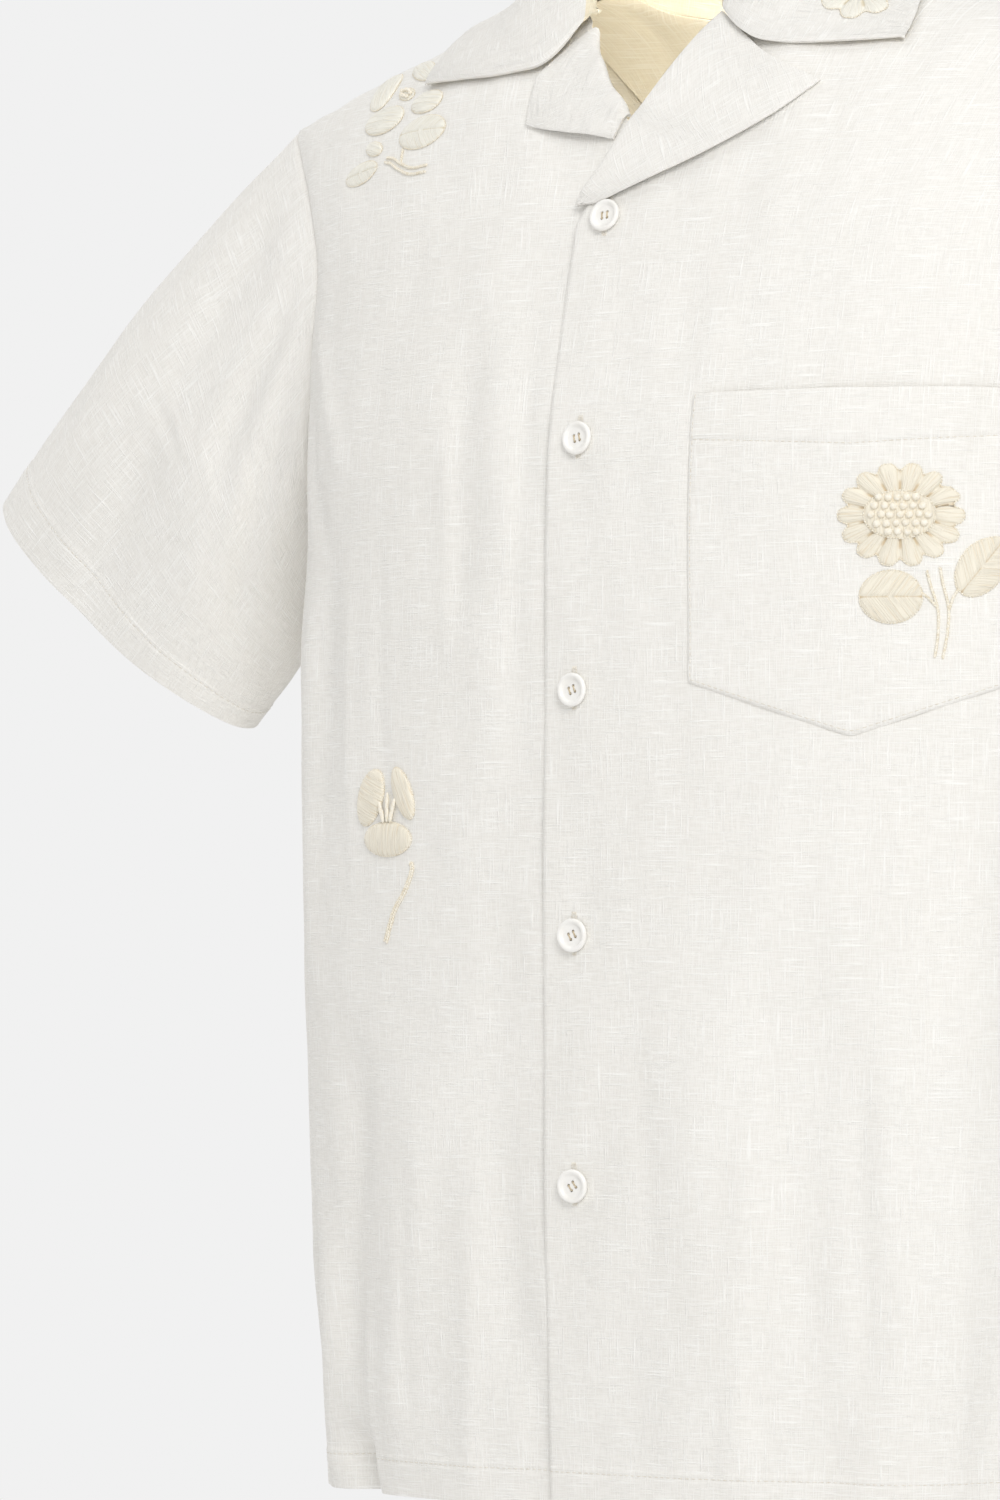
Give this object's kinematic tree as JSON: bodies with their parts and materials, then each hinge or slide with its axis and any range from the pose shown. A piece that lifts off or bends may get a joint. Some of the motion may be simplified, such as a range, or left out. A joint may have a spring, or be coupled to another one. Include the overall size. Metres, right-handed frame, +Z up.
{
  "type": "embroidered camp-collar shirt",
  "caption": "Short-sleeved camp-collar shirt, worn and hollow, buttoned down the front, with a chest pocket and raised flower embroidery.",
  "frame": {"origin": "middle of the neck, level with the tops of the shoulder seams, where the wearer holds the shirt up", "axes": "+Z up, -Y the way the wearer faces, +X to the wearer's left"},
  "size_m": [0.8292, 0.2509, 0.7238],
  "materials": {
    "cloth": "matte off-white slub linen blend",
    "inner_cloth": "matte tan slub linen blend, the inside of the neck",
    "thread": "cream cotton embroidery thread over padding",
    "button": "satin off-white, with a cream ring at the edge"
  },
  "bodies": {
    "root": {"back": "cloth", "front_left": "cloth", "front_right": "cloth", "sleeve_left": "cloth", "sleeve_right": "cloth", "collar": "cloth", "lapel_left": "cloth", "lapel_right": "cloth", "pocket": "cloth", "neck_facing": "inner_cloth", "button_1": "button", "button_2": "button", "button_3": "button", "button_4": "button", "button_5": "button", "collar_flower": "thread", "collar_flower_eye": "thread", "spray_bud": "thread", "spray_eye": "thread", "spray_leaf": "thread", "spray_leaf_small": "thread", "spray_petal_left": "thread", "spray_petal_low": "thread", "spray_petal_right": "thread", "spray_petal_top": "thread", "spray_stem": "thread", "sunflower_leaf_pointed": "thread", "sunflower_leaf_round": "thread", "sunflower_petals": "thread", "sunflower_seeds": "thread", "sunflower_stem": "thread", "tulip_cup": "thread", "tulip_petal_left": "thread", "tulip_petal_right": "thread", "tulip_stem": "thread"}
  },
  "joints": []
}
